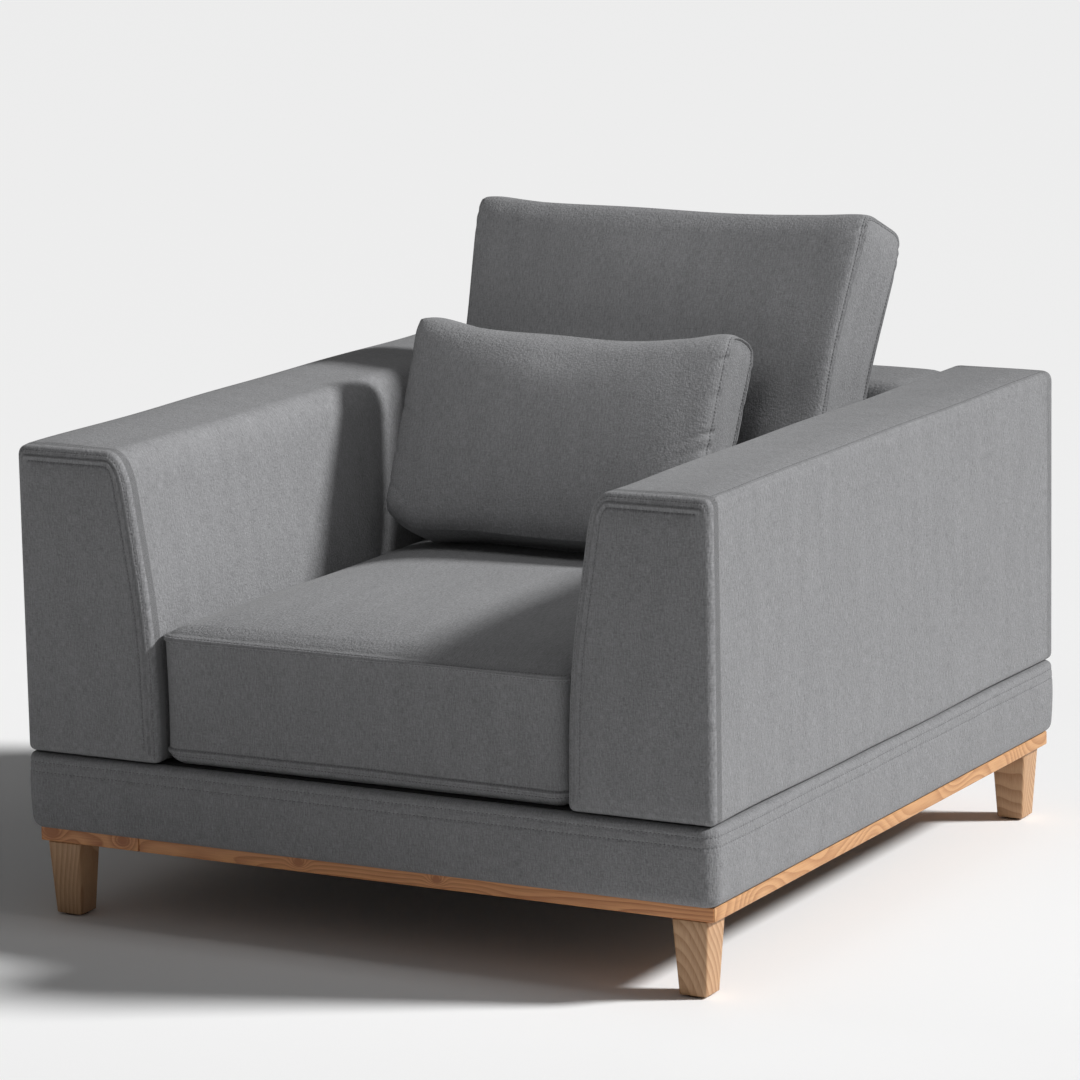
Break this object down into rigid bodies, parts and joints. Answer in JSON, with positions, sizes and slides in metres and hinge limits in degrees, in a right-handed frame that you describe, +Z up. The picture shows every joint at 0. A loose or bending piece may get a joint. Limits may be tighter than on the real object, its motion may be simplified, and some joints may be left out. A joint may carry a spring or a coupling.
{
  "type": "upholstered armchair",
  "caption": "Deep upholstered armchair with block arms, loose seat and back cushions, a lumbar pillow, and a wooden plinth on tapered legs.",
  "frame": {"origin": "on the floor under the middle of the chair's rest outline", "axes": "+Z up, the chair faces -Y, +X to the viewer's right when looking at the chair's front"},
  "size_m": [1.06, 1.12, 0.9093],
  "materials": {
    "upholstery": "brushed slub weave with a slight sheen",
    "plinth_wood": "clear satin lacquer",
    "frame_timber": "sawn, unfinished",
    "hardboard": "smooth one side",
    "foam": "open-cell foam",
    "zinc_steel": "zinc plated",
    "spring_steel": "drawn wire",
    "lining": "spun-bonded cloth",
    "webbing": "elastic webbing",
    "felt": "pressed felt"
  },
  "bodies": {
    "chair_frame": {"arm_boards_left": "frame_timber", "arm_boards_right": "frame_timber", "arm_cover_left": "upholstery", "arm_cover_right": "upholstery", "arm_foam_left": "foam", "arm_foam_right": "foam", "arm_panels_left": "hardboard", "arm_panels_right": "hardboard", "arm_ribs_left": "frame_timber", "arm_ribs_right": "frame_timber", "back_cover": "upholstery", "back_foam": "foam", "back_posts": "frame_timber", "back_rails": "frame_timber", "back_webbing": "webbing", "base_rail_front": "frame_timber", "base_rail_left": "frame_timber", "base_rail_rear": "frame_timber", "base_rail_right": "frame_timber", "base_stretcher": "frame_timber", "body_bolts": "zinc_steel", "border_cover": "upholstery", "border_pad_front": "foam", "border_pad_left": "foam", "border_pad_rear": "foam", "border_pad_right": "foam", "corner_blocks": "frame_timber", "deck_cloth": "lining", "dust_cover": "lining", "leg_bolts": "zinc_steel", "leg_front_left": "plinth_wood", "leg_front_right": "plinth_wood", "leg_glides": "felt", "leg_inserts": "zinc_steel", "leg_rear_left": "plinth_wood", "leg_rear_right": "plinth_wood", "plinth_rail_front": "plinth_wood", "plinth_rail_left": "plinth_wood", "plinth_rail_rear": "plinth_wood", "plinth_rail_right": "plinth_wood", "plinth_screws": "zinc_steel", "seat_springs": "spring_steel", "spring_clips": "spring_steel"},
    "back_cushion": {"back_cushion_cover": "upholstery", "back_cushion_filling": "foam"},
    "seat_cushion": {"seat_cushion_cover": "upholstery", "seat_cushion_filling": "foam"},
    "lumbar_pillow": {"lumbar_pillow_cover": "upholstery", "lumbar_pillow_filling": "foam"}
  },
  "joints": [
    {"name": "seat_cushion_slide", "type": "slide", "parent": "chair_frame", "child": "seat_cushion", "axis": [0, -1, 0], "range_m": [0, 0.6]},
    {"name": "back_cushion_lift", "type": "slide", "parent": "chair_frame", "child": "back_cushion", "axis": [0, 0.3811, 0.9245], "range_m": [0, 0.45]},
    {"name": "lumbar_pillow_lift", "type": "slide", "parent": "chair_frame", "child": "lumbar_pillow", "axis": [0, 0.4147, 0.91], "range_m": [0, 0.35]}
  ]
}
